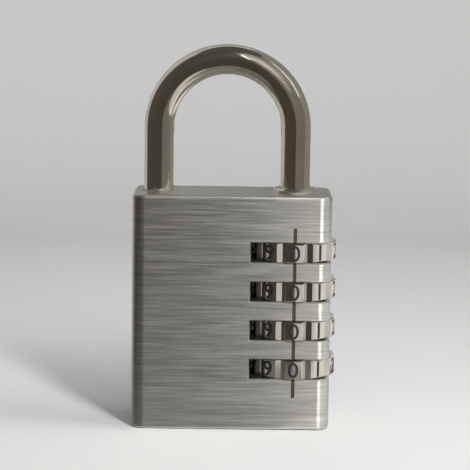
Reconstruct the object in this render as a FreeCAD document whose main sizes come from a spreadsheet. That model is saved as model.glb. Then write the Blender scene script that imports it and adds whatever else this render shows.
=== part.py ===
import FreeCAD, Part
import math
import os

import Sketcher
from FreeCAD import Placement, Rotation, Vector

# A combination padlock with a solid body. Z points up towards the shackle, the numbered front
# faces -Y, and the origin is the middle of the flat base. Lengths are millimetres.
# The long leg of the shackle runs down through four dials. Its fins pass the ledges of the
# sleeves inside the dials only where the slots line up.

# Sizes that can each be chosen by themselves
SIZES = (
    ("body_width", 40.0, "across the front of the body"),
    ("side_edge_radius", 2.5, "rounding of the four upright edges"),
    ("end_edge_radius", 0.8, "rounding round the top and the base"),
    ("side_wall", 2.1, "metal between the sleeve bore and the right side"),
    ("toe_wall", 1.9, "metal between the toe hole and the left side"),
    ("rod_diameter", 6.0, "round rod of the shackle"),
    ("leg_straight", 12.8, "straight leg between the body and the bow"),
    ("toe_depth", 5.0, "how far the short leg reaches into the body"),
    ("toe_hole_spare", 1.2, "depth of the toe hole below the short leg"),
    ("toe_gap", 0.2, "play round the short leg"),
    ("leg_chamfer", 0.6, "bevel at both ends of the rod"),
    ("run_gap", 0.1, "play round what turns or slides"),
    ("dial_count", 4, "number of dials"),
    ("dial_pitch", 7.9, "from dial to dial, also the travel of the shackle"),
    ("dial_thickness", 3.8, "height of a dial"),
    ("dial_rim", 2.35, "metal outside the inner key slots of a dial"),
    ("dial_stand", 0.65, "how far a dial stands proud of the front"),
    ("grip_width", 2.2, "mouth of the grip groove between two numbers"),
    ("grip_depth", 0.7, "depth of the grip groove"),
    ("digits", 10, "numbers on a dial"),
    ("dial_bevel", 0.2, "bevel of a dial's outer edges"),
    ("slot_gap", 0.1, "play above and below a dial in its window"),
    ("dial_side_gap", 0.2, "gap between a dial and the end of its window"),
    ("window_bevel", 0.2, "broken edge round each window"),
    ("sleeve_wall", 1.0, "wall of a sleeve"),
    ("sleeve_play", 0.05, "gap between one sleeve and the next"),
    ("tooth_stand", 1.0, "how far a sleeve's tooth stands out"),
    ("tooth_width", 1.6, "width of a sleeve's tooth"),
    ("tooth_height", 3.4, "height of a sleeve's tooth"),
    ("ledge_height", 2.6, "inner ledge at the top of a sleeve"),
    ("fin_stand", 1.0, "how far a fin stands out of the long leg"),
    ("fin_gap", 0.2, "play round a fin"),
    ("fin_width", 1.5, "width of a fin"),
    ("fin_height", 1.8, "height of a fin"),
    ("clip_groove_depth", 0.8, "groove for the retaining clip"),
    ("clip_thickness", 1.0, "retaining clip"),
    ("clip_tail", 0.6, "end of the long leg below the clip"),
    ("clip_mouth", 3.2, "open side of the retaining clip"),
    ("stop_gap", 0.1, "play left at the top of the shackle's travel"),
    ("bush_length", 2.2, "depth of the bush in the body"),
    ("bush_ledge", 0.2, "seat under the bush"),
    ("bush_stand", 0.8, "how far the bush stands out of the body"),
    ("bush_bevel", 0.3, "bevel of the bush"),
    ("bush_split", 0.8, "slit at the back of the bush"),
    ("plate_thickness", 2.0, "plate that closes the base"),
    ("plate_margin", 0.9, "seat of the plate outside the bore"),
    ("plate_bevel", 0.25, "bevel round the plate"),
    ("spring_height", 6.2, "reset spring between the plate and its washer"),
    ("spring_wire", 0.6, "wire of the reset spring"),
    ("spring_turns", 2.5, "turns of the reset spring"),
    ("spring_sides", 8, "flat sides that stand for its round wire"),
    ("washer_thickness", 0.4, "washer on the reset spring"),
    ("detent_room", 1.6, "depth of the detent channel behind the windows"),
    ("detent_half_width", 3.0, "half the width of the detent channel"),
    ("detent_strip", 0.3, "sheet of the detent spring"),
    ("detent_spine", 1.0, "width of the strip that carries the fingers"),
    ("detent_finger", 2.4, "height of a detent finger"),
    ("detent_bend", 0.5, "bend radius in the detent spring"),
    ("mark_width", 0.7, "index line on the front"),
    ("mark_depth", 0.15, "depth of the index line"),
    ("mark_above", 3.0, "index line above the top window"),
    ("mark_below", 3.8, "index line below the bottom window"),
)

# Sizes that follow from the ones above, from the rod outwards and from the base upwards
FITS = (
    ("rod_radius", "Sizes.rod_diameter / 2"),
    ("rod_bore", "rod_radius + Sizes.run_gap"),
    ("fin_reach", "rod_radius + Sizes.fin_stand"),
    ("fin_bore", "fin_reach + Sizes.fin_gap"),
    ("sleeve_radius", "fin_bore + Sizes.sleeve_wall"),
    ("bore_radius", "sleeve_radius + Sizes.run_gap"),
    ("tooth_reach", "sleeve_radius + Sizes.tooth_stand"),
    ("key_reach", "tooth_reach + Sizes.run_gap"),
    ("key_width", "Sizes.tooth_width + Sizes.run_gap"),
    ("dial_radius", "key_reach + Sizes.dial_rim"),
    ("groove_bottom", "dial_radius - Sizes.grip_depth"),
    ("body_depth", "2 * (dial_radius - Sizes.dial_stand)"),
    ("axis_x", "Sizes.body_width / 2 - Sizes.side_wall - bore_radius"),
    ("toe_hole_radius", "rod_radius + Sizes.toe_gap"),
    ("toe_x", "Sizes.toe_wall + toe_hole_radius - Sizes.body_width / 2"),
    ("bow_radius", "(axis_x - toe_x) / 2"),
    ("stack_bottom", "Sizes.plate_thickness + Sizes.spring_height + Sizes.washer_thickness"),
    ("stack_top", "stack_bottom + Sizes.dial_count * Sizes.dial_pitch"),
    ("bush_seat", "stack_top + Sizes.dial_pitch - Sizes.ledge_height"),
    ("body_height", "bush_seat + Sizes.bush_length"),
    ("bush_radius", "fin_bore + Sizes.bush_ledge"),
    ("slot_height", "Sizes.dial_thickness + 2 * Sizes.slot_gap"),
    ("slot_bottom", "stack_bottom + (Sizes.dial_pitch - slot_height) / 2"),
    ("slot_left", "axis_x - dial_radius - Sizes.dial_side_gap"),
    ("pattern_length", "(Sizes.dial_count - 1) * Sizes.dial_pitch"),
    ("channel_left", "slot_left - Sizes.detent_room"),
    ("plate_radius", "bore_radius + Sizes.plate_margin"),
    ("plate_left", "channel_left + sqrt(bore_radius ^ 2 - Sizes.detent_half_width ^ 2)"),
    ("clip_top", "stack_bottom - Sizes.ledge_height - Sizes.stop_gap"),
    ("heel_end", "clip_top - Sizes.clip_thickness - Sizes.clip_tail"),
    ("toe_end", "body_height - Sizes.toe_depth"),
    ("bow_height", "body_height + Sizes.leg_straight"),
    ("lowest_fin", "stack_bottom + Sizes.dial_pitch - Sizes.ledge_height - Sizes.fin_gap - Sizes.fin_height"),
)

BEYOND = "1"


def fill_sheet(sheet, rows):
    """Writes names and contents, one row each, with the name as the alias."""
    for row, (name, content, *note) in enumerate(rows, start=1):
        sheet.set(f"A{row}", name)
        sheet.set(f"B{row}", str(content))
        sheet.set(f"C{row}", note[0] if note else "")
        sheet.setAlias(f"B{row}", name)


document = FreeCAD.newDocument("CombinationPadlock")
sizes = document.addObject("Spreadsheet::Sheet", "Sizes")
fill_sheet(sizes, SIZES)
fits = document.addObject("Spreadsheet::Sheet", "Fits")
fill_sheet(fits, [(name, "=" + formula) for name, formula in FITS])
document.recompute()


def value(expression):
    """The number that an expression on the two sheets gives."""
    return float(sizes.evalExpression(expression))


def bind(target, **expressions):
    """Binds properties of an object to expressions; two underscores stand for a dot."""
    for name, expression in expressions.items():
        target.setExpression(name.replace("__", "."), expression)


def new_body(name, label, **placement):
    """A body with its own label, placed by expressions for x, y and z."""
    body = document.addObject("PartDesign::Body", name)
    body.Label = label
    for axis, expression in placement.items():
        body.setExpression(f"Placement.Base.{axis}", expression)
    return body


def origin_feature(body, role):
    """The plane or axis of a body's own origin that has this role."""
    return next(feature for feature in body.Origin.OriginFeatures if feature.Role == role)


def new_sketch(body, name, plane="XY_Plane", **offset):
    """A sketch on one of the body's own planes, shifted by expressions for x, y and z."""
    sketch = body.newObject("Sketcher::SketchObject", name)
    sketch.AttachmentSupport = [(origin_feature(body, plane), "")]
    sketch.MapMode = "FlatFace"
    for axis, expression in offset.items():
        sketch.setExpression(f"AttachmentOffset.Base.{axis}", expression)
    return sketch


def fix_point(sketch, geometry, point, across, along):
    """Ties a point of the sketch to the sketch's origin by two bound distances."""
    for kind, expression in (("DistanceX", across), ("DistanceY", along)):
        constraint = Sketcher.Constraint(kind, -1, 1, geometry, point, value(expression))
        index = sketch.addConstraint(constraint)
        sketch.setExpression(f"Constraints[{index}]", expression)


def draw_circle(sketch, radius, across="0", along="0"):
    """A circle whose centre and radius are bound."""
    centre = Vector(value(across), value(along), 0)
    circle = sketch.addGeometry(Part.Circle(centre, Vector(0, 0, 1), value(radius)), False)
    fix_point(sketch, circle, 3, across, along)
    index = sketch.addConstraint(Sketcher.Constraint("Radius", circle, value(radius)))
    sketch.setExpression(f"Constraints[{index}]", radius)


def draw_outline(sketch, corners):
    """A closed outline of straight lines through bound corners."""
    places = [Vector(value(across), value(along), 0) for across, along in corners]
    following = places[1:] + places[:1]
    lines = [sketch.addGeometry(Part.LineSegment(*ends), False) for ends in zip(places, following)]
    for line, next_line in zip(lines, lines[1:] + lines[:1]):
        sketch.addConstraint(Sketcher.Constraint("Coincident", line, 2, next_line, 1))
    for line, (across, along) in zip(lines, corners):
        fix_point(sketch, line, 1, across, along)


def draw_rectangle(sketch, left, right, low, high):
    """A rectangle between four bound sides."""
    draw_outline(sketch, [(left, low), (right, low), (right, high), (left, high)])


def add_feature(body, kind, name, profile=None, **expressions):
    """A feature of the body on an optional profile, with its sizes bound."""
    feature = body.newObject(f"PartDesign::{kind}", name)
    if profile is not None:
        feature.Profile = profile
        profile.Visibility = False
    bind(feature, **expressions)
    return feature


def cut_through(body, name, profile, **expressions):
    """A pocket that runs both ways from its sketch."""
    pocket = add_feature(body, "Pocket", name, profile, **expressions)
    pocket.Midplane = True
    return pocket


def turn_profile(body, kind, name, sketch):
    """A Revolution or a Groove of a profile about the upright axis of its sketch."""
    feature = add_feature(body, kind, name, sketch)
    feature.ReferenceAxis = (sketch, ["V_Axis"])
    feature.Angle = 360
    return feature


def add_box(body, kind, name, x, y, z):
    """An AdditiveBox or SubtractiveBox between bound pairs of limits on each axis."""
    box = add_feature(body, kind, name)
    for axis, side, (low, high) in (("x", "Length", x), ("y", "Width", y), ("z", "Height", z)):
        box.setExpression(f"Placement.Base.{axis}", low)
        box.setExpression(side, f"({high}) - ({low})")
    return box


def repeat_upwards(body, name, originals):
    """Repeats features once for each dial, one dial pitch apart."""
    pattern = add_feature(body, "LinearPattern", name)
    pattern.Originals = originals
    pattern.Direction = (origin_feature(body, "Z_Axis"), [""])
    bind(pattern, Length="Fits.pattern_length", Occurrences="Sizes.dial_count")
    body.Tip = pattern
    return pattern


def repeat_around(body, name, originals):
    """Repeats features once for each number, all round the dial."""
    pattern = add_feature(body, "PolarPattern", name)
    pattern.Originals = originals
    pattern.Axis = (origin_feature(body, "Z_Axis"), [""])
    pattern.Angle = 360
    bind(pattern, Occurrences="Sizes.digits")
    body.Tip = pattern
    return pattern


def dress_edges(body, kind, name, size, wanted):
    """A Fillet or Chamfer on the edges of the body so far that pass a test."""
    document.recompute()
    base = body.Tip
    names = [f"Edge{number}" for number, edge in enumerate(base.Shape.Edges, start=1) if wanted(edge)]
    feature = add_feature(body, kind, name)
    feature.Base = (base, names)
    bind(feature, **{"Radius" if kind == "Fillet" else "Size": size})
    return feature


def is_near(first, second):
    return abs(first - second) < 1e-4


def middle_of(edge):
    """The point half way along an edge."""
    first, last = edge.ParameterRange
    return edge.valueAt((first + last) / 2)


def lies_at_height(edge, height):
    """Whether an edge is level and at this height."""
    box = edge.BoundBox
    return is_near(box.ZMin, height) and is_near(box.ZMax, height)


def make_lock_body():
    """The solid block: windows, stepped bore, toe hole, detent channel, base recess, index line."""
    body = new_body("LockBody", "lock_body")
    width, depth = "Sizes.body_width / 2", "Fits.body_depth / 2"
    outline = new_sketch(body, "FrontOutline")
    draw_rectangle(outline, f"-{width}", width, f"-{depth}", depth)
    add_feature(body, "Pad", "Block", outline, Length="Fits.body_height")
    half_width, half_depth, height = value(width), value(depth), value("Fits.body_height")
    dress_edges(
        body, "Fillet", "SideEdges", "Sizes.side_edge_radius",
        lambda edge: is_near(edge.BoundBox.ZLength, height),
    )
    dress_edges(
        body, "Fillet", "EndEdges", "Sizes.end_edge_radius",
        lambda edge: lies_at_height(edge, 0) or lies_at_height(edge, height),
    )

    window = new_sketch(body, "WindowSketch", "XZ_Plane")
    draw_rectangle(
        window, "Fits.slot_left", f"{width} + {BEYOND}",
        "Fits.slot_bottom", "Fits.slot_bottom + Fits.slot_height",
    )
    first_window = cut_through(body, "LowestWindow", window, Length=f"Fits.body_depth + {BEYOND}")
    repeat_upwards(body, "Windows", [first_window])

    corner = value("Sizes.side_edge_radius")

    def on_skin(point):
        beyond_x, beyond_y = point.x - half_width + corner, abs(point.y) - half_depth + corner
        round_part = beyond_x > 0 and beyond_y > 0
        return is_near(math.hypot(beyond_x, beyond_y), corner) if round_part else (
            is_near(beyond_y, corner) or is_near(beyond_x, corner)
        )

    lowest, pitch = value("Fits.slot_bottom"), value("Sizes.dial_pitch")
    opening = value("Fits.slot_height")
    rims = [lowest + step * pitch + part for step in range(int(value("Sizes.dial_count")))
            for part in (0, opening / 2, opening)]

    def rings_a_window(edge):
        middle = middle_of(edge)
        return on_skin(middle) and edge.BoundBox.ZLength < opening + 0.1 and any(
            is_near(middle.z, rim) for rim in rims
        )

    dress_edges(body, "Chamfer", "WindowBevels", "Sizes.window_bevel", rings_a_window)

    bore = new_sketch(body, "BoreProfile", "XZ_Plane", x="Fits.axis_x")
    draw_outline(bore, [
        ("0", f"-{BEYOND}"), ("Fits.bore_radius", f"-{BEYOND}"),
        ("Fits.bore_radius", "Fits.stack_top"), ("Fits.fin_bore", "Fits.stack_top"),
        ("Fits.fin_bore", "Fits.bush_seat"), ("Fits.bush_radius", "Fits.bush_seat"),
        ("Fits.bush_radius", f"Fits.body_height + {BEYOND}"), ("0", f"Fits.body_height + {BEYOND}"),
    ])
    turn_profile(body, "Groove", "SteppedBore", bore)
    add_box(
        body, "SubtractiveBox", "Keyway", ("Fits.axis_x - Fits.key_reach", "Fits.axis_x"),
        ("-Fits.key_width / 2", "Fits.key_width / 2"), (f"-{BEYOND}", "Fits.stack_top"),
    )
    half_channel = "Sizes.detent_half_width"
    add_box(
        body, "SubtractiveBox", "DetentChannel", ("Fits.channel_left", "Fits.slot_left"),
        (f"-{half_channel}", half_channel), (f"-{BEYOND}", "Fits.stack_top"),
    )
    recess = new_sketch(body, "BaseRecessSketch")
    draw_plate_outline(recess)
    add_feature(body, "Pocket", "BaseRecess", recess, Length="Sizes.plate_thickness").Reversed = True

    toe = new_sketch(body, "ToeHoleProfile", "XZ_Plane", x="Fits.toe_x")
    rim, top = "Fits.toe_hole_radius", "Fits.body_height"
    draw_outline(toe, [
        ("0", "Fits.toe_end - Sizes.toe_hole_spare"), (rim, "Fits.toe_end - Sizes.toe_hole_spare"),
        (rim, f"{top} - Sizes.window_bevel"), (f"{rim} + Sizes.window_bevel", top),
        (f"{rim} + Sizes.window_bevel", f"{top} + {BEYOND}"), ("0", f"{top} + {BEYOND}"),
    ])
    turn_profile(body, "Groove", "ToeHole", toe)
    add_box(
        body, "SubtractiveBox", "IndexLine",
        ("Fits.axis_x - Sizes.mark_width / 2", "Fits.axis_x + Sizes.mark_width / 2"),
        (f"-{depth} - {BEYOND}", f"Sizes.mark_depth - {depth}"),
        ("Fits.slot_bottom - Sizes.mark_below",
         "Fits.slot_bottom + Fits.pattern_length + Fits.slot_height + Sizes.mark_above"),
    )
    return body


def draw_plate_outline(sketch):
    """Two half rounds joined by straight sides: it seats all round the bore and the detent channel."""
    left, right = value("Fits.plate_left"), value("Fits.axis_x")
    reach = value("Fits.plate_radius")
    lower = sketch.addGeometry(Part.LineSegment(Vector(left, -reach), Vector(right, -reach)), False)
    upper = sketch.addGeometry(Part.LineSegment(Vector(right, reach), Vector(left, reach)), False)
    quarter = math.pi / 2
    ends = [
        (right, "Fits.axis_x", -quarter, quarter),
        (left, "Fits.plate_left", quarter, 3 * quarter),
    ]
    arcs = []
    for place, expression, start, stop in ends:
        circle = Part.Circle(Vector(place, 0), Vector(0, 0, 1), reach)
        arc = sketch.addGeometry(Part.ArcOfCircle(circle, start, stop), False)
        fix_point(sketch, arc, 3, expression, "0")
        arcs.append(arc)
    right_arc, left_arc = arcs
    for joint in (
        (lower, 2, right_arc, 1), (right_arc, 2, upper, 1), (upper, 2, left_arc, 1), (left_arc, 2, lower, 1),
    ):
        sketch.addConstraint(Sketcher.Constraint("Tangent", *joint))
    index = sketch.addConstraint(Sketcher.Constraint("Radius", right_arc, reach))
    sketch.setExpression(f"Constraints[{index}]", "Fits.plate_radius")


def make_bottom_plate():
    """The plate pressed into the base, flush with it."""
    body = new_body("BottomPlate", "bottom_plate")
    outline = new_sketch(body, "PlateOutline")
    draw_plate_outline(outline)
    add_feature(body, "Pad", "Plate", outline, Length="Sizes.plate_thickness")
    dress_edges(
        body, "Chamfer", "PlateBevel", "Sizes.plate_bevel", lambda edge: lies_at_height(edge, 0)
    )
    return body


def make_shackle():
    """The bent rod with a clip groove and one fin for each dial on its long leg."""
    body = new_body("Shackle", "shackle", x="Fits.axis_x")
    path = new_sketch(body, "RodPath", "XZ_Plane")
    radius, spring_line = value("Fits.bow_radius"), value("Fits.bow_height")
    heel = sketch_line(path, (0, value("Fits.heel_end")), (0, spring_line))
    bow = path.addGeometry(
        Part.ArcOfCircle(Part.Circle(Vector(-radius, spring_line), Vector(0, 0, 1), radius), 0, math.pi), False
    )
    toe = sketch_line(path, (-2 * radius, spring_line), (-2 * radius, value("Fits.toe_end")))
    fix_point(path, heel, 1, "0", "Fits.heel_end")
    fix_point(path, bow, 3, "-Fits.bow_radius", "Fits.bow_height")
    fix_point(path, bow, 1, "0", "Fits.bow_height")
    fix_point(path, toe, 2, "-2 * Fits.bow_radius", "Fits.toe_end")
    path.addConstraint(Sketcher.Constraint("Coincident", heel, 2, bow, 1))
    path.addConstraint(Sketcher.Constraint("Coincident", bow, 2, toe, 1))
    bow_end = path.addConstraint(Sketcher.Constraint("DistanceY", -1, 1, bow, 2, spring_line))
    path.setExpression(f"Constraints[{bow_end}]", "Fits.bow_height")
    section = new_sketch(body, "RodSection", z="Fits.heel_end")
    draw_circle(section, "Fits.rod_radius")
    rod = add_feature(body, "AdditivePipe", "Rod", section)
    rod.Spine = path
    path.Visibility = False
    dress_edges(
        body, "Chamfer", "LegEnds", "Sizes.leg_chamfer",
        lambda edge: lies_at_height(edge, value("Fits.heel_end")) or lies_at_height(edge, value("Fits.toe_end")),
    )
    groove = new_sketch(body, "ClipGrooveProfile", "XZ_Plane")
    draw_rectangle(
        groove, "Fits.rod_radius - Sizes.clip_groove_depth", f"Fits.rod_radius + {BEYOND}",
        "Fits.clip_top - Sizes.clip_thickness", "Fits.clip_top",
    )
    turn_profile(body, "Groove", "ClipGroove", groove)
    fin = add_box(
        body, "AdditiveBox", "LowestFin", ("-Fits.fin_reach", "-Fits.rod_radius / 2"),
        ("-Sizes.fin_width / 2", "Sizes.fin_width / 2"),
        ("Fits.lowest_fin", "Fits.lowest_fin + Sizes.fin_height"),
    )
    repeat_upwards(body, "Fins", [fin])
    return body


def sketch_line(sketch, start, end):
    """A free straight line in a sketch."""
    return sketch.addGeometry(Part.LineSegment(Vector(*start), Vector(*end)), False)


def make_shackle_clip():
    """The open ring in the groove of the long leg."""
    body = new_body("ShackleClip", "shackle_clip", x="Fits.axis_x", z="Fits.clip_top - Sizes.clip_thickness")
    ring = new_sketch(body, "RingSketch")
    draw_circle(ring, "Fits.fin_reach")
    draw_circle(ring, "Fits.rod_radius - Sizes.clip_groove_depth")
    add_feature(body, "Pad", "Ring", ring, Length="Sizes.clip_thickness")
    add_box(
        body, "SubtractiveBox", "Mouth", ("0", f"Fits.fin_reach + {BEYOND}"),
        ("-Sizes.clip_mouth / 2", "Sizes.clip_mouth / 2"), ("0", "Sizes.clip_thickness"),
    )
    return body


def make_shackle_bush():
    """The split collar that guides the long leg at the top of the body."""
    body = new_body("ShackleBush", "shackle_bush", x="Fits.axis_x", z="Fits.bush_seat")
    length = "Sizes.bush_length + Sizes.bush_stand"
    profile = new_sketch(body, "BushProfile", "XZ_Plane")
    draw_outline(profile, [
        ("Fits.rod_bore", "0"), ("Fits.bush_radius", "0"),
        ("Fits.bush_radius", f"{length} - Sizes.bush_bevel"),
        ("Fits.bush_radius - Sizes.bush_bevel", length),
        ("Fits.rod_bore + Sizes.bush_bevel", length), ("Fits.rod_bore", f"{length} - Sizes.bush_bevel"),
    ])
    turn_profile(body, "Revolution", "Collar", profile)
    add_box(
        body, "SubtractiveBox", "Slit", ("-Sizes.bush_split / 2", "Sizes.bush_split / 2"),
        ("0", f"Fits.bush_radius + {BEYOND}"), ("0", length),
    )
    return body


def dial_middle(number):
    """The height of the middle of a dial, counted from the top one."""
    return f"Fits.stack_top - ({number} - 0.5) * Sizes.dial_pitch"


def make_dial(number):
    """A ring with ten number faces, V grooves to grip between them and ten key slots inside."""
    body = new_body(
        f"Dial{number}", f"dial_{number}", x="Fits.axis_x", z=f"{dial_middle(number)} - Sizes.dial_thickness / 2"
    )
    blank = new_sketch(body, f"BlankSketch{number}")
    draw_circle(blank, "Fits.dial_radius")
    draw_circle(blank, "Fits.bore_radius")
    add_feature(body, "Pad", f"Blank{number}", blank, Length="Sizes.dial_thickness")
    outer = value("Fits.dial_radius")
    dress_edges(
        body, "Chamfer", f"RimBevel{number}", "Sizes.dial_bevel",
        lambda edge: edge.BoundBox.ZLength < 1e-4 and is_near(edge.BoundBox.XLength, 2 * outer),
    )
    grip = new_sketch(body, f"GripSketch{number}")
    slope = "Sizes.grip_width / 2 / Sizes.grip_depth"
    mouth = f"({slope}) * (Sizes.grip_depth + {BEYOND})"
    draw_outline(grip, [
        ("-Fits.groove_bottom", "0"), (f"-Fits.dial_radius - {BEYOND}", mouth),
        (f"-Fits.dial_radius - {BEYOND}", f"-{mouth}"),
    ])
    groove = add_feature(body, "Pocket", f"GripGroove{number}", grip, Length="Sizes.dial_thickness")
    groove.Reversed = True
    key = add_box(
        body, "SubtractiveBox", f"KeySlot{number}", ("-Fits.key_reach", "-Fits.bore_radius / 2"),
        ("-Fits.key_width / 2", "Fits.key_width / 2"), ("0", "Sizes.dial_thickness"),
    )
    repeat_around(body, f"Numbers{number}", [groove, key])
    return body


def make_sleeve(number):
    """A sleeve with an inner ledge, one slot in it for a fin and one outer tooth for its dial."""
    body = new_body(
        f"Sleeve{number}", f"sleeve_{number}", x="Fits.axis_x",
        z=f"{dial_middle(number)} - Sizes.dial_pitch / 2",
    )
    top = "Sizes.dial_pitch - Sizes.sleeve_play"
    ledge = "Sizes.dial_pitch - Sizes.ledge_height"
    wall = new_sketch(body, f"SleeveProfile{number}", "XZ_Plane")
    draw_outline(wall, [
        ("Fits.fin_bore", "0"), ("Fits.sleeve_radius", "0"), ("Fits.sleeve_radius", top),
        ("Fits.rod_bore", top), ("Fits.rod_bore", ledge), ("Fits.fin_bore", ledge),
    ])
    turn_profile(body, "Revolution", f"Wall{number}", wall)
    slot_width = "Sizes.fin_width / 2 + Sizes.fin_gap"
    add_box(
        body, "SubtractiveBox", f"FinSlot{number}", ("-Fits.fin_bore", "0"),
        (f"-({slot_width})", slot_width), (ledge, top),
    )
    add_box(
        body, "AdditiveBox", f"Tooth{number}", ("-Fits.tooth_reach", "Sizes.sleeve_wall / 2 - Fits.sleeve_radius"),
        ("-Sizes.tooth_width / 2", "Sizes.tooth_width / 2"),
        ("(Sizes.dial_pitch - Sizes.tooth_height) / 2", "(Sizes.dial_pitch + Sizes.tooth_height) / 2"),
    )
    return body


def make_spring_washer():
    """The flat washer between the reset spring and the lowest sleeve."""
    outer = document.addObject("Part::Cylinder", "WasherOutside")
    inner = document.addObject("Part::Cylinder", "WasherHole")
    bind(outer, Radius="Fits.sleeve_radius", Height="Sizes.washer_thickness - Sizes.sleeve_play")
    bind(inner, Radius="Fits.fin_bore", Height="Sizes.washer_thickness")
    washer = document.addObject("Part::Cut", "SpringWasher")
    washer.Base, washer.Tool = outer, inner
    washer.Label = "spring_washer"
    bind(washer, Placement__Base__x="Fits.axis_x", Placement__Base__z="Fits.stack_bottom - Sizes.washer_thickness")
    return washer


def make_reset_spring():
    """A wire coil between the plate and the washer, each half turn a half ring tilted by the rise."""
    wire_radius = "Sizes.spring_wire / 2"
    coil_radius = f"(Fits.bore_radius - 2 * Sizes.run_gap - {wire_radius})"
    half_turns = round(2 * value("Sizes.spring_turns"))
    rise = f"((Sizes.spring_height - Sizes.spring_wire) / {half_turns})"
    first_height = f"(Sizes.plate_thickness + {wire_radius})"
    rings = []
    for step in range(half_turns):
        side = 1 if step % 2 == 0 else -1
        wire = document.addObject("Part::RegularPolygon", f"WireSection{step + 1}")
        wire.Polygon = round(value("Sizes.spring_sides"))
        wire.Placement = Placement(Vector(), Rotation(Vector(1, 0, 0), 90))
        bind(
            wire, Circumradius=wire_radius,
            Placement__Base__x=f"Fits.axis_x + {side} * {coil_radius}",
            Placement__Base__z=f"{first_height} + {step} * {rise}",
        )
        ring = document.addObject("Part::Revolution", f"HalfTurn{step + 1}")
        ring.Source = wire
        ring.Angle = 180
        ring.Solid = True
        bind(
            ring, Base__x="Fits.axis_x", Base__z=f"{first_height} + {step + 0.5} * {rise}",
            Axis__x=f"{side} * {rise} / (2 * {coil_radius})",
        )
        rings.append(ring)
    spring = document.addObject("Part::MultiFuse", "ResetSpring")
    spring.Shapes = rings
    spring.Label = "reset_spring"
    return spring


def round_corners(points, radius):
    """A wire of straight runs through the points, with its inner corners rounded."""
    edges, start = [], points[0]
    for before, corner, after in zip(points, points[1:], points[2:]):
        back, ahead = (before - corner).normalize(), (after - corner).normalize()
        half_angle = back.getAngle(ahead) / 2
        setback = radius / math.tan(half_angle)
        bisector = (back + ahead).normalize()
        middle = corner + bisector * (radius / math.sin(half_angle) - radius)
        enter, leave = corner + back * setback, corner + ahead * setback
        edges += [Part.makeLine(start, enter), Part.Arc(enter, middle, leave).toShape()]
        start = leave
    edges.append(Part.makeLine(start, points[-1]))
    return Part.Wire(edges)


def make_detent_spring():
    """One bent strip: a spine along the channel and a finger for each dial, its nose in a groove."""
    sheet = value("Sizes.detent_strip")
    bend = value("Sizes.detent_bend")
    channel = value("Fits.axis_x - Fits.channel_left")
    back = sheet / 2 - channel
    edge = value("Sizes.detent_half_width - Sizes.run_gap - Sizes.detent_strip / 2")
    root = edge - value("Sizes.detent_spine")
    groove_angle = math.atan(value("Sizes.grip_width / 2 / Sizes.grip_depth"))
    nose_radius = bend + sheet / 2
    nose = -value("Fits.groove_bottom") - nose_radius * (1 / math.sin(groove_angle) - 1) - value("Sizes.run_gap / 4")
    points = [Vector(back, edge, 0), Vector(back, root, 0), Vector(0, 0, 0), Vector(back, -root, 0),
              Vector(back, -edge, 0)]
    crest = nose - sheet / 2
    for _ in range(20):
        half_angle = math.atan2(root, points[2].x - back)
        points[2].x = crest + bend * (1 / math.sin(half_angle) - 1)
    strip = round_corners(points, bend).makeOffset2D(sheet / 2, join=0, fill=False, openResult=False)
    count, pitch = int(value("Sizes.dial_count")), value("Sizes.dial_pitch")
    finger = value("Sizes.detent_finger")
    spring = Part.Face(strip).extrude(Vector(0, 0, (count - 1) * pitch + finger))
    gap = Part.makeBox(channel, root + edge, pitch - finger, Vector(-channel, -edge - sheet, finger))
    for step in range(count - 1):
        spring = spring.cut(gap.translated(Vector(0, 0, step * pitch)))
    detent = document.addObject("Part::Feature", "DetentSpring")
    detent.Label = "detent_spring"
    detent.Shape = spring
    detent.Placement = Placement(
        Vector(value("Fits.axis_x"), 0, value("Fits.stack_bottom + (Sizes.dial_pitch - Sizes.detent_finger) / 2")),
        Rotation(),
    )
    return detent


def check_and_export(parts):
    """Stops at a failed feature or a shape that is not one good solid, then writes each part."""
    document.recompute()
    for thing in document.Objects:
        if {"Invalid", "Error"} & set(thing.State):
            raise RuntimeError(f"{thing.Name} is {thing.State}")
    for part in parts:
        shape = part.Shape
        if shape.isNull() or not shape.isValid() or len(shape.Solids) != 1:
            raise RuntimeError(f"{part.Label} is not one valid solid")
        print(f"{part.Label}: {shape.Volume:.1f} mm3")
    os.makedirs("parts", exist_ok=True)
    for part in parts:
        part.Shape.exportStep(f"parts/{part.Label}.step")


numbers = range(1, int(value("Sizes.dial_count")) + 1)
all_parts = [make_lock_body(), make_bottom_plate(), make_shackle(), make_shackle_clip(), make_shackle_bush()]
all_parts += [make_dial(number) for number in numbers]
all_parts += [make_sleeve(number) for number in numbers]
all_parts += [make_spring_washer(), make_reset_spring(), make_detent_spring()]
check_and_export(all_parts)
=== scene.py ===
"""The looks of a padlock with four number dials: its finishes, its painted marks, and a plain studio."""

import logging
import math
from dataclasses import dataclass
from enum import Enum

import bmesh
import bpy
from mathutils import Matrix, Vector


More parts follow.
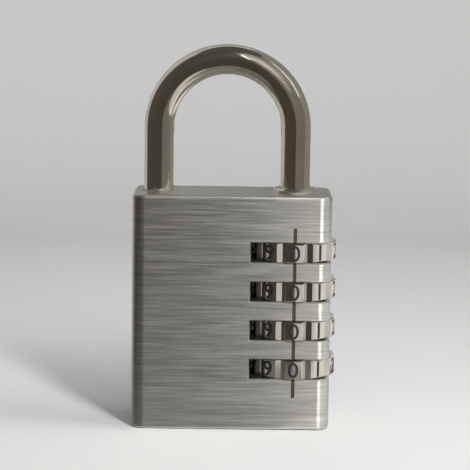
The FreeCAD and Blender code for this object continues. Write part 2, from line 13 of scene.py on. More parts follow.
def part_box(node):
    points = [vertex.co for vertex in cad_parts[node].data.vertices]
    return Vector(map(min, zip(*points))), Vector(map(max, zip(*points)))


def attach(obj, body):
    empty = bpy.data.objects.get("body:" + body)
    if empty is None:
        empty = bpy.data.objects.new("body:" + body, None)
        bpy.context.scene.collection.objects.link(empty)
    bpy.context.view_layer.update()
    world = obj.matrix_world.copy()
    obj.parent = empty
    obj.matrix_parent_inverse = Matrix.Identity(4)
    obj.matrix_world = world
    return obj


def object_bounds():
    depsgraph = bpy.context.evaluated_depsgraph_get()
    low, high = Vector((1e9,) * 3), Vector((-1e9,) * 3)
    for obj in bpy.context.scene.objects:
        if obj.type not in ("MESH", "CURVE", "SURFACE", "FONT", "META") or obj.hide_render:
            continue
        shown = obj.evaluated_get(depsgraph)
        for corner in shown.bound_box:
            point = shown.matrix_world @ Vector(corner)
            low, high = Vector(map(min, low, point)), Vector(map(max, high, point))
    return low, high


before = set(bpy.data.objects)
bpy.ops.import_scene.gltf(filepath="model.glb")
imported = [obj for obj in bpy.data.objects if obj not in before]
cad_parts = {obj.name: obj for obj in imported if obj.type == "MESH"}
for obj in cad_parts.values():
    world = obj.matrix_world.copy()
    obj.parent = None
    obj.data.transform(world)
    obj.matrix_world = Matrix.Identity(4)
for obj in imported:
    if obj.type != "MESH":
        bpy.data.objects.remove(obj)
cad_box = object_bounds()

Pair = tuple[float, float]
Triple = tuple[float, float, float]
Colour = Triple
MM = 0.001
DIAL_NUMBERS = (1, 2, 3, 4)
DIGITS = 10
BLACK = (0.0, 0.0, 0.0)
log = logging.getLogger("padlock")

# Where the spots of a noise start to show, and where they are full
NOISE_SPAN = (0.3, 0.7)

# How strong the finer layers are in noise that is drawn out into lines
STREAKY = 0.6

# The direction of stretched reflections, in turns
QUARTER_TURN = 0.25


class Wire:
    """A socket that feeds others, with arithmetic that adds the Math nodes."""

    def __init__(self, bench: "Bench", socket: bpy.types.NodeSocket) -> None:
        """Keeps the socket and the bench that it belongs to."""
        self.bench = bench
        self.socket = socket

    def _maths(self, operation: str, first: "Wire | float", second: "Wire | float") -> "Wire":
        """Adds a Math node of that operation on two values."""
        return self.bench.node("ShaderNodeMath", {"operation": operation}, {0: first, 1: second})

    def __add__(self, other: "Wire | float") -> "Wire":
        """Gives the sum."""
        return self._maths("ADD", self, other)

    __radd__ = __add__

    def __sub__(self, other: "Wire | float") -> "Wire":
        """Gives the difference."""
        return self._maths("SUBTRACT", self, other)

    def __rsub__(self, other: "Wire | float") -> "Wire":
        """Gives the difference, taken from the other value."""
        return self._maths("SUBTRACT", other, self)

    def __mul__(self, other: "Wire | float") -> "Wire":
        """Gives the product."""
        return self._maths("MULTIPLY", self, other)

    __rmul__ = __mul__

    def size(self) -> "Wire":
        """Gives the value without its sign."""
        return self._maths("ABSOLUTE", self, 0.0)

    def between(self, low: float, high: float) -> "Wire":
        """Gives the value stretched so that low becomes 0 and high becomes 1, held inside that range."""
        return self.bench.node("ShaderNodeMapRange", {"clamp": True}, {0: self, 1: low, 2: high})


class Bench:
    """A node tree, with the one way to add a node to it."""

    def __init__(self, tree: bpy.types.NodeTree) -> None:
        """Keeps the tree."""
        self.tree = tree

    def node(self, kind: str, settings: dict, sockets: dict, output: int | str = 0) -> Wire:
        """Adds a node.

        Args:
            kind: the node's type.
            settings: its own settings, which are set before its sockets.
            sockets: the value or wire of each socket, by its number or name.
            output: the socket that feeds on.

        Returns:
            The wire from that output.
        """
        made = self.tree.nodes.new(kind)
        for name, setting in settings.items():
            setattr(made, name, setting)
        for key, given in sockets.items():
            self.feed(made.inputs[key], given)
        return Wire(self, made.outputs[output])

    def feed(self, socket: bpy.types.NodeSocket, given: "Wire | float | tuple") -> None:
        """Links a wire to a socket, or sets the socket's own value.

        Args:
            socket: the socket that is fed.
            given: the wire or the value.
        """
        if isinstance(given, Wire):
            self.tree.links.new(given.socket, socket)
        else:
            socket.default_value = given


class Coating(Bench):
    """The node tree of one material, with its Principled shader in place.

    Further shaders can be laid over the first, each shown where its mask says.
    """

    def __init__(self, name: str) -> None:
        """Makes the material and empties its tree but for the shader.

        Args:
            name: the material's name.
        """
        self.material = bpy.data.materials.new(name)
        self.material.use_nodes = True
        super().__init__(self.material.node_tree)
        self.tree.nodes.clear()
        self.surface = self.tree.nodes.new("ShaderNodeOutputMaterial").inputs["Surface"]
        self.shader = self.tree.nodes.new("ShaderNodeBsdfPrincipled")
        self.tree.links.new(self.shader.outputs["BSDF"], self.surface)

    def set(self, **given: "Wire | float | Colour") -> None:
        """Sets or links sockets of the shader.

        Args:
            given: the value or wire of each socket, with underscores for the spaces of its name.
        """
        for name, value in given.items():
            if isinstance(value, tuple):
                value = (*value, 1.0)
            self.feed(self.shader.inputs[name.replace("_", " ").title()], value)

    def layer(self, mask: Wire) -> None:
        """Lays another Principled shader over what is there, and makes it the one that set() feeds.

        Args:
            mask: how much the new shader shows, from 0 to 1.
        """
        below = self.surface.links[0].from_socket
        self.shader = self.tree.nodes.new("ShaderNodeBsdfPrincipled")
        sockets = {0: mask, 1: Wire(self, below), 2: Wire(self, self.shader.outputs["BSDF"])}
        self.feed(self.surface, self.node("ShaderNodeMixShader", {}, sockets))

    def place(self, counts: Triple = (1.0, 1.0, 1.0)) -> Wire:
        """Gives the place on the piece in metres, times a count for each axis."""
        here = self.node("ShaderNodeTexCoord", {}, {}, "Object")
        return self.node("ShaderNodeVectorMath", {"operation": "MULTIPLY"}, {0: here, 1: counts})

    def facing(self, axis: str) -> Wire:
        """Gives how far the surface faces along an axis, either way."""
        normal = self.node("ShaderNodeTexCoord", {}, {}, "Normal")
        return self.node("ShaderNodeSeparateXYZ", {}, {0: normal}, axis).size()

    def within(self, low: Vector, high: Vector, blend: float) -> Wire:
        """Gives 1 inside a box and 0 outside it.

        Args:
            low: the box's lowest corner.
            high: the box's highest corner.
            blend: width of the passage between the two, outside the box.

        Returns:
            The wire of that amount.
        """
        place = self.place()
        amount = None
        for axis, start, end in zip("XYZ", low, high):
            along = self.node("ShaderNodeSeparateXYZ", {}, {0: place}, axis)
            half = (end - start) / 2
            share = (along - (start + end) / 2).size().between(half + blend, half)
            amount = share if amount is None else amount * share
        return amount

    def noise(self, counts: Triple, detail: float = 2.0, roughness: float = 0.5) -> Wire:
        """Gives noise of about 0 to 1.

        Args:
            counts: how many swings it makes in a metre along each axis.
            detail: how many finer layers it has.
            roughness: how strong those finer layers are.

        Returns:
            The wire of the noise.
        """
        sockets = {"Vector": self.place(counts), "Scale": 1.0, "Detail": detail, "Roughness": roughness}
        return self.node("ShaderNodeTexNoise", {"noise_dimensions": "3D"}, sockets)

    def tint(self, amount: Wire, low: Colour, high: Colour) -> Wire:
        """Gives a colour between two by an amount from 0 to 1."""
        ends = {6: (*low, 1.0), 7: (*high, 1.0)}
        return self.node("ShaderNodeMix", {"data_type": "RGBA"}, {0: amount, **ends}, 2)

    def relief(self, height: Wire, depth: float) -> Wire:
        """Gives the normal of a surface with that height, whose full swing is depth metres."""
        return self.node("ShaderNodeBump", {}, {"Strength": 1.0, "Distance": depth, "Height": height})


def evenly(amount: float) -> Triple:
    """Gives the same amount for all three axes."""
    return (amount, amount, amount)


def shades(colour: Colour, spread: float) -> tuple[Colour, Colour]:
    """Gives a darker and a lighter version of a colour, each away from it by that share."""
    return tuple(c * (1 - spread) for c in colour), tuple(min(c * (1 + spread), 1.0) for c in colour)


@dataclass(frozen=True)
class BrushedMetal:
    """Metal with level brush lines round its upright walls, a satin top and base, and dull cast hollows
    darkened with painted shade.

    Attributes:
        name: the material's name.
        colour: the metal's colour.
        rough: least roughness of the brushed walls.
        satin: least roughness of the top and base.
        stretch: how much more light the lines spread upwards than sideways.
        line_length: length of a brush line.
        line_widths: widths of the fine, the middling and the broad lines.
        line_shares: how much each of the three counts.
        line_span: the part of their mixed noise that the lines fill.
        line_depth: depth of a brush line.
        line_haze: how much rougher a line can be than the rest.
        contrast: how much lighter or darker a line is than the metal.
        level: how far up or down a surface faces where the satin starts, and where it is full.
        grain: size of the grain of the satin and the cast metal.
        satin_depth: depth of that grain in the satin.
        satin_haze: how much rougher the grain makes the satin.
        satin_contrast: how much lighter or darker the grain makes it.
        skin: how far the brushing and the satin reach into the windows and bores.
        blend: width of the passage to the cast metal.
        cast: colour of the metal in the hollows: bare cast metal, made darker still as painted shade in the
            windows and bores.
        cast_rough: its roughness.
        cast_depth: depth of its grain.
        cast_contrast: how much lighter or darker its grain makes it.
    """

    name: str
    colour: Colour
    rough: float
    satin: float
    stretch: float = 0.8
    line_length: float = 11 * MM
    line_widths: Triple = (0.12 * MM, 0.4 * MM, 1.3 * MM)
    line_shares: Triple = (0.55, 0.33, 0.12)
    line_span: Pair = (0.38, 0.62)
    line_depth: float = 0.0015 * MM
    line_haze: float = 0.1
    contrast: float = 0.18
    level: Pair = (0.3, 0.7)
    grain: float = 0.12 * MM
    satin_depth: float = 0.00015 * MM
    satin_haze: float = 0.06
    satin_contrast: float = 0.03
    skin: float = 1.0 * MM
    blend: float = 0.25 * MM
    # Darker than bare cast metal: painted shade inside the windows and bores
    cast: Colour = (0.1, 0.097, 0.088)
    cast_rough: float = 0.5
    cast_depth: float = 0.006 * MM
    cast_contrast: float = 0.2

    def brush_walls(self, bench: Coating) -> None:
        """Gives the whole piece its brush lines.

        Args:
            bench: the material's bench.
        """
        along = 1 / self.line_length
        fine, middling, broad = (
            bench.noise((along, along, 1 / width), roughness=STREAKY) * share
            for width, share in zip(self.line_widths, self.line_shares)
        )
        lines = (fine + middling + broad).between(*self.line_span)
        bench.set(
            metallic=1.0,
            anisotropic=self.stretch,
            anisotropic_rotation=QUARTER_TURN,
            base_color=bench.tint(lines, *shades(self.colour, self.contrast)),
            roughness=lines * self.line_haze + self.rough,
            normal=bench.relief(lines, self.line_depth),
        )

    def smooth_ends(self, bench: Coating, grain: Wire) -> None:
        """Lays the satin over the top and base.

        Args:
            bench: the material's bench.
            grain: the noise of the metal's grain.
        """
        bench.layer(bench.facing("Z").between(*self.level))
        bench.set(
            metallic=1.0,
            base_color=bench.tint(grain, *shades(self.colour, self.satin_contrast)),
            roughness=grain * self.satin_haze + self.satin,
            normal=bench.relief(grain, self.satin_depth),
        )

    def dull_hollows(self, bench: Coating, grain: Wire) -> None:
        """Lays the bare cast metal, darkened with painted shade, over all that is deeper inside the body than
        its skin.

        Args:
            bench: the material's bench.
            grain: the noise of the metal's grain.
        """
        low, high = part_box("lock_body")
        skin = Vector(evenly(self.skin))
        bench.layer(bench.within(low + skin, high - skin, self.blend))
        bench.set(
            metallic=1.0,
            base_color=bench.tint(grain, *shades(self.cast, self.cast_contrast)),
            roughness=self.cast_rough,
            normal=bench.relief(grain, self.cast_depth),
        )

    def make(self) -> bpy.types.Material:
        """Builds the material.

        Returns:
            The material.
        """
        bench = Coating(self.name)
        self.brush_walls(bench)
        grain = bench.noise(evenly(1 / self.grain))
        self.smooth_ends(bench, grain)
        self.dull_hollows(bench, grain)
        return bench.material


@dataclass(frozen=True)
class PolishedMetal:
    """Plated and polished metal with the faint hairlines and haze that polishing leaves.

    Attributes:
        name: the material's name.
        colour: the plating's colour.
        rough: least roughness of the plating.
        hairline: width of a hairline.
        thinness: width of a hairline against its height.
        depth: depth of the hairlines.
        clouds: how many spots of haze lie along a metre.
        contrast: how much lighter or darker the haze makes the plating.
        haze: how much rougher the hairlines and spots make it.
    """

    name: str
    colour: Colour
    rough: float
    hairline: float = 0.08 * MM
    thinness: float = 0.05
    depth: float = 0.0006 * MM
    clouds: float = 260.0
    contrast: float = 0.04
    haze: float = 0.08

    def make(self) -> bpy.types.Material:
        """Builds the material.

        Returns:
            The material.
        """
        bench = Coating(self.name)
        across = 1 / self.hairline
        hairs = bench.noise((across, across, across * self.thinness), roughness=STREAKY)
        clouds = bench.noise(evenly(self.clouds))
        bench.set(
            metallic=1.0,
            base_color=bench.tint(clouds.between(*NOISE_SPAN), *shades(self.colour, self.contrast)),
            roughness=(hairs + clouds) * (self.haze / 2) + self.rough,
            normal=bench.relief(hairs, self.depth),
        )
        return bench.material


@dataclass(frozen=True)
class TurnedMetal:
    """Metal straight from the lathe or the press, with fine rings round its height.

    Attributes:
        name: the material's name.
        colour: the metal's colour.
        rough: least roughness of the turned surface.
        ring: spacing of the tool's rings.
        breaks: how often a ring changes in a metre along its way.
        depth: depth of the rings.
        stains: how many stains lie along a metre.
        contrast: how much lighter or darker a stain makes the metal.
        haze: how much rougher the rings make it.
    """

    name: str
    colour: Colour
    rough: float
    ring: float = 0.12 * MM
    breaks: float = 60.0
    depth: float = 0.002 * MM
    stains: float = 400.0
    contrast: float = 0.1
    haze: float = 0.15

    def make(self) -> bpy.types.Material:
        """Builds the material.

        Returns:
            The material.
        """
        bench = Coating(self.name)
        rings = bench.noise((self.breaks, self.breaks, 1 / self.ring))
        stains = bench.noise(evenly(self.stains))
        bench.set(
            metallic=1.0,
            base_color=bench.tint(stains.between(*NOISE_SPAN), *shades(self.colour, self.contrast)),
            roughness=rings * self.haze + self.rough,
            normal=bench.relief(rings, self.depth),
        )
        return bench.material


@dataclass(frozen=True)
class EnamelPaint:
    """Paint that was wiped into an engraved mark.

    Attributes:
        name: the material's name.
        colour: the paint's colour.
        rough: least roughness of the paint.
        grain: size of the uneven spots.
        depth: depth of the uneven spots.
        detail: how many finer layers the spots have.
        contrast: how much lighter or darker a spot is than the paint.
        haze: how much rougher a spot can be.
    """

    name: str
    colour: Colour
    rough: float = 0.45
    grain: float = 0.15 * MM
    depth: float = 0.004 * MM
    detail: float = 3.0
    contrast: float = 0.25
    haze: float = 0.2

    def make(self) -> bpy.types.Material:
        """Builds the material.

        Returns:
            The material.
        """
        bench = Coating(self.name)
        spots = bench.noise(evenly(1 / self.grain), self.detail)
        bench.set(
            base_color=bench.tint(spots.between(*NOISE_SPAN), *shades(self.colour, self.contrast)),
            roughness=spots * self.haze + self.rough,
            normal=bench.relief(spots, self.depth),
        )
        return bench.material


@dataclass(frozen=True)
class StudioPaper:
    """The matte pale paper of the floor and backdrop.

    Attributes:
        name: the material's name.
        colour: the paper's colour.
        rough: the paper's roughness.
        fibres: how many fibres lie along a metre.
        contrast: how much lighter or darker a fibre is than the paper.
        lit: how far from the padlock the lamps light it fully.
        unlit: how far away they no longer do.
        glow: how bright the unlit paper looks to the camera, so that it stays pale to the horizon.
    """

    name: str
    colour: Colour
    rough: float = 0.9
    fibres: float = 300.0
    contrast: float = 0.01
    lit: float = 0.3
    unlit: float = 0.8
    glow: Colour = (0.48, 0.48, 0.475)

    def make(self) -> bpy.types.Material:
        """Builds the material.

        Returns:
            The material.
        """
        bench = Coating(self.name)
        fibres = bench.noise(evenly(self.fibres))
        away = bench.node("ShaderNodeVectorMath", {"operation": "LENGTH"}, {0: bench.place()}, "Value")
        seen = bench.node("ShaderNodeLightPath", {}, {}, "Is Camera Ray")
        bench.set(
            base_color=bench.tint(fibres, *shades(self.colour, self.contrast)),
            roughness=self.rough,
            emission_color=bench.tint(seen * away.between(self.lit, self.unlit), BLACK, self.glow),
            emission_strength=1.0,
        )
        return bench.material


class Finish(Enum):
    """The finishes of the padlock."""

    BODY = BrushedMetal("brushed_body", (0.62, 0.613, 0.573), rough=0.34, satin=0.3)
    SHACKLE = PolishedMetal("polished_rod", (0.83, 0.78, 0.68), rough=0.06)
    BUSH = PolishedMetal("polished_bush", (0.84, 0.83, 0.8), rough=0.12)
    DIAL = PolishedMetal("plated_dial", (0.78, 0.76, 0.7), rough=0.07)
    SLEEVE = TurnedMetal("turned_brass", (0.83, 0.66, 0.36), rough=0.25)
    SPRING = TurnedMetal("drawn_steel", (0.58, 0.58, 0.6), rough=0.3)
    INDEX = EnamelPaint("index_enamel", (0.05, 0.022, 0.018))
    NUMBER = EnamelPaint("number_enamel", (0.012, 0.012, 0.012), rough=0.35)

    def dress(self, *pieces: bpy.types.Object) -> None:
        """Gives the finish to pieces, in place of any that they have.

        Args:
            pieces: the pieces that share it.
        """
        material = bpy.data.materials.get(self.value.name) or self.value.make()
        for piece in pieces:
            piece.data.materials.clear()
            piece.data.materials.append(material)


def new_piece(name: str, shape: bmesh.types.BMesh, smooth: bool = False) -> bpy.types.Object:
    """Makes an object of a bmesh, whose place is in its vertices.

    Args:
        name: the object's name.
        shape: the mesh, which is freed here.
        smooth: whether its faces are shaded smooth.

    Returns:
        The object, linked to the scene.
    """
    bmesh.ops.recalc_face_normals(shape, faces=shape.faces)
    mesh = bpy.data.meshes.new(name)
    shape.to_mesh(mesh)
    shape.free()
    mesh.polygons.foreach_set("use_smooth", [smooth] * len(mesh.polygons))
    piece = bpy.data.objects.new(name, mesh)
    bpy.context.scene.collection.objects.link(piece)
    return piece


@dataclass
class Housing:
    """The body with its base plate and the painted index line.

    Attributes:
        body: the node of the body.
        plate: the node of the base plate.
        paint_width: width of the index line.
        paint_low: how far the paint lies below the front at its edges.
        paint_dip: how far its middle dips further.
        paint_depth: how far below the front its flat back lies.
        paint_steps: facets across the paint.
        window_play: play above and below a dial in its window.
        above: length of the line above the top window.
        below: length of the line below the bottom window.
    """

    body: str = "lock_body"
    plate: str = "bottom_plate"
    paint_width: float = 0.7 * MM
    paint_low: float = 0.03 * MM
    paint_dip: float = 0.04 * MM
    paint_depth: float = 0.14 * MM
    paint_steps: int = 6
    window_play: float = 0.1 * MM
    above: float = 3.0 * MM
    below: float = 3.8 * MM

    def paint_spans(self) -> list[Pair]:
        """Finds the stretches of the line, between the windows.

        Returns:
            The lowest and the highest point of each stretch, from the bottom up.
        """
        windows = []
        for number in DIAL_NUMBERS:
            low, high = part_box(f"dial_{number}")
            windows.append((low.z - self.window_play, high.z + self.window_play))
        windows.sort()
        ends = [windows[0][0] - self.below]
        for low, high in windows:
            ends += [low, high]
        ends.append(windows[-1][1] + self.above)
        return list(zip(ends[::2], ends[1::2]))

    def paint_outline(self, height: float) -> list[Triple]:
        """Works out the paint's outline at one height.

        Args:
            height: that height.

        Returns:
            The points of its dished face from left to right, then its two back corners.
        """
        low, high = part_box("dial_1")
        middle = (low.x + high.x) / 2
        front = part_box(self.body)[0].y
        points = []
        for step in range(self.paint_steps + 1):
            share = 2 * step / self.paint_steps - 1
            sink = self.paint_low + self.paint_dip * (1 - share * share)
            points.append((middle + share * self.paint_width / 2, front + sink, height))
        for side in (1, -1):
            points.append((middle + side * self.paint_width / 2, front + self.paint_depth, height))
        return points

    def paint_index(self) -> bpy.types.Object:
        """Builds the paint in the index groove, a shallow trough for each stretch.

        Returns:
            The painted line.
        """
        shape = bmesh.new()
        for span in self.paint_spans():
            outlines = [self.paint_outline(height) for height in span]
            bottom, top = ([shape.verts.new(point) for point in outline] for outline in outlines)
            count = len(bottom)
            for at in range(count):
                after = (at + 1) % count
                shape.faces.new((bottom[at], bottom[after], top[after], top[at]))
            shape.faces.new(bottom)
            shape.faces.new(top[::-1])
        piece = new_piece("index_paint", shape)
        Finish.INDEX.dress(piece)
        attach(piece, "housing")
        return piece

    def build(self) -> list[bpy.types.Object]:
        """Dresses the body and its plate, and paints the index line."""
        Finish.BODY.dress(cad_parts[self.body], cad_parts[self.plate])
        return [self.paint_index()]


@dataclass
class Shackle:
    """The bent rod with its clip and the bush that it slides in.

    Attributes:
        rod: the node of the rod.
        bush: the node of the bush.
        clip: the node of the clip.
    """

    rod: str = "shackle"
    bush: str = "shackle_bush"
    clip: str = "shackle_clip"

    def build(self) -> list[bpy.types.Object]:
        """Dresses the three pieces.

        Returns:
            No piece, because none is added.
        """
        Finish.SHACKLE.dress(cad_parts[self.rod])
        Finish.BUSH.dress(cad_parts[self.bush])
        Finish.SPRING.dress(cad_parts[self.clip])
        return []


@dataclass
class NumberDial:
    """A dial with ten painted numbers round its rim.

    Attributes:
        number: which dial it is, counted from the shackle down.
        letter_height: height of a number.
        letter_width: how much wider a number is than the type draws it.
        boldness: how far the strokes are thickened, against the letter's size.
        curve_steps: facets along each curved stretch of a number.
        paint_stand: how far the paint stands proud of the rim.
        paint_sink: how far the paint reaches into the rim.
        facet: about how wide a facet of the paint is, so that it follows the round rim.
    """

    number: int
    letter_height: float = 3.2 * MM
    letter_width: float = 1.02
    boldness: float = 0.012
    curve_steps: int = 4
    paint_stand: float = 0.015 * MM
    paint_sink: float = 0.05 * MM
    facet: float = 0.3 * MM

    def drawn_letter(self, text: str) -> bmesh.types.BMesh:
        """Draws a number as a flat filled outline.

        Args:
            text: the number.

        Returns:
            A flat mesh with X across and Y up, in the type's own size.
        """
        curve = bpy.data.curves.new("letter", "FONT")
        curve.body = text
        curve.offset = self.boldness
        curve.resolution_u = self.curve_steps
        drawn = bpy.data.objects.new("letter", curve)
        mesh = bpy.data.meshes.new_from_object(drawn)
        shape = bmesh.new()
        shape.from_mesh(mesh)
        bpy.data.meshes.remove(mesh)
        bpy.data.objects.remove(drawn)
        bpy.data.curves.remove(curve)
        return shape

    def letter(self, text: str) -> bmesh.types.BMesh:
        """Builds the paint of a number about its own middle, flat at first, in upright slices.

        Args:
            text: the number.

        Returns:
            A closed mesh with X across, Y up and Z outwards from the rim.
        """
        shape = self.drawn_letter(text)
        across, up = ([vert.co[axis] for vert in shape.verts] for axis in (0, 1))
        scale = self.letter_height / (max(up) - min(up))
        centre = Matrix.Translation((-(min(across) + max(across)) / 2, -(min(up) + max(up)) / 2, 0))
        size = Matrix.Diagonal((scale * self.letter_width, scale, 1, 1))
        shape.transform(Matrix.Translation((0, 0, -self.paint_sink)) @ size @ centre)
        half_width = max(vert.co.x for vert in shape.verts)
        slices = round(half_width / self.facet)
        for step in range(1 - slices, slices):
            everything = [*shape.verts, *shape.edges, *shape.faces]
            cut = Vector((half_width * step / slices, 0, 0))
            bmesh.ops.bisect_plane(shape, geom=everything, plane_co=cut, plane_no=(1, 0, 0))
        raised = bmesh.ops.extrude_face_region(shape, geom=shape.faces[:], use_keep_orig=True)["geom"]
        top = [item for item in raised if isinstance(item, bmesh.types.BMVert)]
        bmesh.ops.translate(shape, verts=top, vec=(0, 0, self.paint_sink + self.paint_stand))
        return shape

    def paint_numbers(self) -> bpy.types.Object:
        """Builds the painted numbers, wrapped round the rim, with 0 at the front and 1 to its right.

        Returns:
            The numbers of the dial, as one piece.
        """
        low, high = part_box(f"dial_{self.number}")
        middle = (low + high) / 2
        radius = (high.y - low.y) / 2
        shape = bmesh.new()
        for digit in range(DIGITS):
            letter = self.letter(str(digit))
            for vert in letter.verts:
                bearing = math.tau * digit / DIGITS + vert.co.x / radius
                outwards = Vector((math.sin(bearing), -math.cos(bearing), 0)) * (radius + vert.co.z)
                vert.co = middle + outwards + Vector((0, 0, vert.co.y))
            wrapped = bpy.data.meshes.new("letter")
            letter.to_mesh(wrapped)
            letter.free()
            shape.from_mesh(wrapped)
            bpy.data.meshes.remove(wrapped)
        piece = new_piece(f"numbers_{self.number}", shape)
        Finish.NUMBER.dress(piece)
        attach(piece, f"dial_ring_{self.number}")
        return piece

    def build(self) -> list[bpy.types.Object]:
        """Dresses the dial and its sleeve and paints the numbers.

        Returns:
            The painted numbers.
        """
        Finish.DIAL.dress(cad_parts[f"dial_{self.number}"])
        Finish.SLEEVE.dress(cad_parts[f"sleeve_{self.number}"])
        return [self.paint_numbers()]


@dataclass
class Springs:
    """The springs and the washer inside the body.

    Attributes:
        nodes: the nodes of the three pieces.
    """

    nodes: tuple[str, ...] = ("reset_spring", "spring_washer", "detent_spring")

    def build(self) -> list[bpy.types.Object]:
        """Dresses the three pieces, and adds none."""
        Finish.SPRING.dress(*(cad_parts[name] for name in self.nodes))
        return []


@dataclass(frozen=True)
class Lamp:
    """A soft lamp that faces the middle of the padlock.

    Attributes:
        name: the lamp's name.
        place: where it hangs.
        size: its width and height.
        power: its power in watts.
        spread: the angle that its light fills, in degrees.
    """

    name: str
    place: Triple
    size: Pair
    power: float
    spread: float = 180.0

    def hang(self, middle: Vector) -> None:
        """Hangs the lamp.

        Args:
            middle: the middle of the padlock.
        """
        lamp = bpy.data.lights.new(self.name, "AREA")
        lamp.shape = "RECTANGLE"
        lamp.size, lamp.size_y = self.size
        lamp.energy = self.power
        lamp.spread = math.radians(self.spread)
        holder = bpy.data.objects.new(self.name, lamp)
        holder.location = self.place
        holder.rotation_euler = (middle - Vector(self.place)).to_track_quat("-Z", "Y").to_euler()
        bpy.context.scene.collection.objects.link(holder)


# The upper edge of the tall cards, where the roof lies on them
CARD_TOP = 200 * MM


@dataclass(frozen=True)
class Card:
    """A glowing card that stands round the padlock and shows only as a painted reflection in its metal.

    Attributes:
        name: the card's name.
        first: the bearing where it starts, in degrees, from 0 in front to 90 on the right.
        last: the bearing where it ends.
        colour: the glow that it paints into the metal's reflections.
        low: height of its lower edge.
        high: height of its upper edge.
        near: how far from the padlock's middle its lower edge is.
        far: how far from the padlock's middle its upper edge is.
        steps: facets along its curve.
    """

    name: str
    first: float
    last: float
    colour: Colour
    low: float = 0.0
    high: float = CARD_TOP
    near: float = 70 * MM
    far: float = 70 * MM
    steps: int = 16

    def stand(self, middle: Vector) -> bpy.types.Object:
        """Builds the card and hides it from all but reflections.

        Args:
            middle: the middle of the padlock.

        Returns:
            The card.
        """
        shape = bmesh.new()
        rows = []
        for step in range(self.steps + 1):
            bearing = math.radians(self.first + (self.last - self.first) * step / self.steps)
            away = Vector((math.sin(bearing), -math.cos(bearing), 0))
            ends = ((self.near, self.low), (self.far, self.high))
            rows.append([shape.verts.new((*(middle + away * reach).xy, height)) for reach, height in ends])
        for before, after in zip(rows, rows[1:]):
            shape.faces.new((before[0], after[0], after[1], before[1]))
        card = new_piece(self.name, shape, smooth=True)
        bench = Coating(self.name)
        bench.set(base_color=BLACK, emission_color=self.colour, emission_strength=1.0)
        card.data.materials.append(bench.material)
        card.visible_camera = card.visible_diffuse = card.visible_shadow = False
        return card


# A glowing sheet that shows only in the metal, as a painted reflection of the floor, lies just over the floor
# and reaches this far out
FLOOR_REFLECTION_HEIGHT = 0.5 * MM
FLOOR_REFLECTION_REACH = 300 * MM


def mat(name: str, first: float, last: float, colour: Colour, near: float = 8 * MM) -> Card:
    """Gives a glowing card, seen only as a painted reflection of the floor, that lies over the floor from
    near the padlock's middle outwards.
    """
    return Card(name, first, last, colour, low=FLOOR_REFLECTION_HEIGHT, high=FLOOR_REFLECTION_HEIGHT, near=near, far=FLOOR_REFLECTION_REACH)


# The lower cards end and the upper cards start at about three quarters of the body's height
LOWER_TOP = 36 * MM
UPPER_FOOT = 37 * MM

LAMPS = (
    Lamp("key_lamp", place=(0.19, -0.4, 0.36), size=(0.08, 0.4), power=0.45, spread=60),
    Lamp("front_lamp", place=(0.04, -0.42, 0.38), size=(0.7, 0.2), power=0.2, spread=60),
    Lamp("side_lamp", place=(0.4, -0.08, 0.36), size=(0.3, 0.3), power=1.7),
    Lamp("top_lamp", place=(-0.1, 0.15, 0.6), size=(1.0, 0.6), power=0.7),
)

# Glowing cards and floor sheets, seen only in the metal: painted light and dark reflections
CARDS = (
    # A dark card on the left that paints a dark reflection into the metal; it blocks no light
    Card("left_dark_reflection", first=-100, last=11, colour=(0.045, 0.038, 0.028)),
    Card("left_back_card", first=-150, last=-101, colour=(0.42, 0.42, 0.41)),
    Card("right_low_card", first=13, last=62, colour=(0.56, 0.55, 0.525), high=LOWER_TOP),
    Card("right_high_card", first=12, last=79, colour=(0.15, 0.14, 0.12), low=UPPER_FOOT),
    Card("right_back_card", first=80, last=150, colour=(0.75, 0.745, 0.73), high=LOWER_TOP),
    Card("inner_card", first=80, last=150, colour=(0.22, 0.21, 0.19), low=UPPER_FOOT),
    Card("back_card", first=150, last=210, colour=(0.22, 0.22, 0.21), low=52 * MM, high=100 * MM),
    mat("back_floor_reflection", first=110, last=260, colour=(0.2, 0.195, 0.185), near=12 * MM),
    Card("roof_card", first=0, last=360, colour=(0.07, 0.065, 0.055), low=CARD_TOP, near=1 * MM, steps=48),
    mat("left_floor_reflection", first=-100, last=20, colour=(0.14, 0.135, 0.125)),
    mat("right_floor_reflection", first=20, last=50, colour=(0.17, 0.165, 0.155)),
    mat("side_floor_reflection", first=50, last=110, colour=(0.62, 0.61, 0.58)),
)


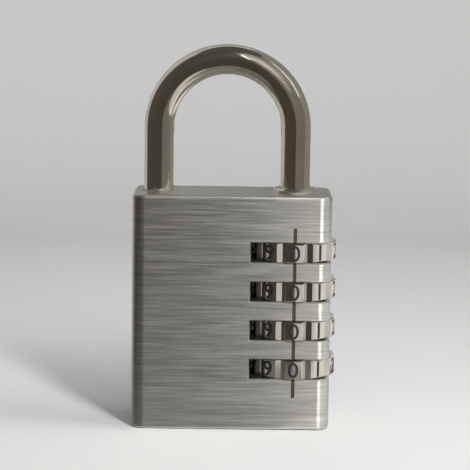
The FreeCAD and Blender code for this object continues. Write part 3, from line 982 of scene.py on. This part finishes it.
@dataclass
class Studio:
    """The pale floor and backdrop, the lamps, the cards and the camera.

    Attributes:
        paper: the finish of the floor and backdrop.
        lamps: the lamps that hang round the padlock.
        cards: the cards that stand round it.
        width: width of the paper.
        depth: how far the floor reaches in front of the padlock.
        back: how far behind the padlock the backdrop rises.
        height: height of the backdrop.
        bend: radius where the floor turns up.
        bend_steps: facets in that bend.
        sky: brightness of the light from the plain surroundings.
        seen_sky: how bright the surroundings look to the camera.
        distance: how far the camera is from the padlock.
        elevation: how far the camera looks down, in degrees.
        roll: how far it is rolled, in degrees.
        view_height: height of its view at the padlock.
        sensor: width of the camera's sensor, in millimetres.
        nearest: how close to the camera a thing still shows.
    """

    paper: StudioPaper = StudioPaper("studio_paper", (0.55, 0.55, 0.543))
    lamps: tuple[Lamp, ...] = LAMPS
    cards: tuple[Card, ...] = CARDS
    width: float = 6.0
    depth: float = 3.0
    back: float = 0.45
    height: float = 1.2
    bend: float = 0.2
    bend_steps: int = 24
    sky: float = 0.2
    seen_sky: float = 0.48
    distance: float = 0.4
    elevation: float = 8.5
    roll: float = 0.75
    view_height: float = 0.0955
    sensor: float = 36.0
    nearest: float = 0.01

    def paper_profile(self) -> list[Pair]:
        """Works out the side view of the paper.

        Returns:
            Its points as distance to the back and height, from the front edge to the top.
        """
        foot = self.back - self.bend
        profile = [(-self.depth, 0.0), (foot, 0.0)]
        for step in range(1, self.bend_steps + 1):
            turn = math.pi / 2 * step / self.bend_steps
            profile.append((foot + self.bend * math.sin(turn), self.bend * (1 - math.cos(turn))))
        profile.append((self.back, self.height))
        return profile

    def lay_paper(self) -> bpy.types.Object:
        """Builds the floor and the backdrop as one sheet with a round bend.

        Returns:
            The paper.
        """
        profile = self.paper_profile()
        shape = bmesh.new()
        left, right = (
            [shape.verts.new((side * self.width / 2, along, up)) for along, up in profile] for side in (-1, 1)
        )
        for at in range(len(profile) - 1):
            shape.faces.new((left[at], right[at], right[at + 1], left[at + 1]))
        paper = new_piece("paper", shape, smooth=True)
        paper.data.materials.append(self.paper.make())
        return paper

    def light_sky(self) -> None:
        """Sets the plain grey surroundings, which look paler to the camera than the light they give."""
        world = bpy.data.worlds.new("surroundings")
        world.use_nodes = True
        bench = Bench(world.node_tree)
        seen = bench.node("ShaderNodeLightPath", {}, {}, "Is Camera Ray")
        ends = {"To Min": self.sky, "To Max": self.seen_sky}
        grey = bench.node("ShaderNodeMapRange", {}, {"Value": seen, **ends})
        bench.feed(world.node_tree.nodes["Background"].inputs["Color"], grey)
        bpy.context.scene.world = world

    def set_camera(self, middle: Vector) -> None:
        """Places the camera in front, a little above, looking at the middle.

        Args:
            middle: the middle of the padlock.
        """
        camera = bpy.data.cameras.new("camera")
        camera.sensor_width = self.sensor
        camera.lens = self.sensor * self.distance / self.view_height
        camera.clip_start = self.nearest
        holder = bpy.data.objects.new("camera", camera)
        tilt = math.radians(self.elevation)
        holder.location = middle + self.distance * Vector((0, -math.cos(tilt), math.sin(tilt)))
        aim = (middle - holder.location).to_track_quat("-Z", "Y")
        rolled = aim @ Matrix.Rotation(math.radians(self.roll), 3, "Z").to_quaternion()
        holder.rotation_euler = rolled.to_euler()
        bpy.context.scene.collection.objects.link(holder)
        bpy.context.scene.camera = holder

    def build(self) -> None:
        """Sets up the whole studio around the padlock."""
        middle = (cad_box[0] + cad_box[1]) / 2
        self.lay_paper()
        self.light_sky()
        for lamp in self.lamps:
            lamp.hang(middle)
        for card in self.cards:
            card.stand(middle)
        self.set_camera(middle)


def main() -> None:
    """Builds the padlock's looks and its studio."""
    logging.basicConfig(level=logging.INFO, format="%(name)s: %(message)s")
    bpy.context.scene.view_settings.view_transform = "Standard"
    Studio().build()
    assemblies = [Housing(), Shackle(), *(NumberDial(number) for number in DIAL_NUMBERS), Springs()]
    for assembly in assemblies:
        for piece in assembly.build():
            log.info("%s: %d faces", piece.name, len(piece.data.polygons))


if __name__ == "__main__":
    main()
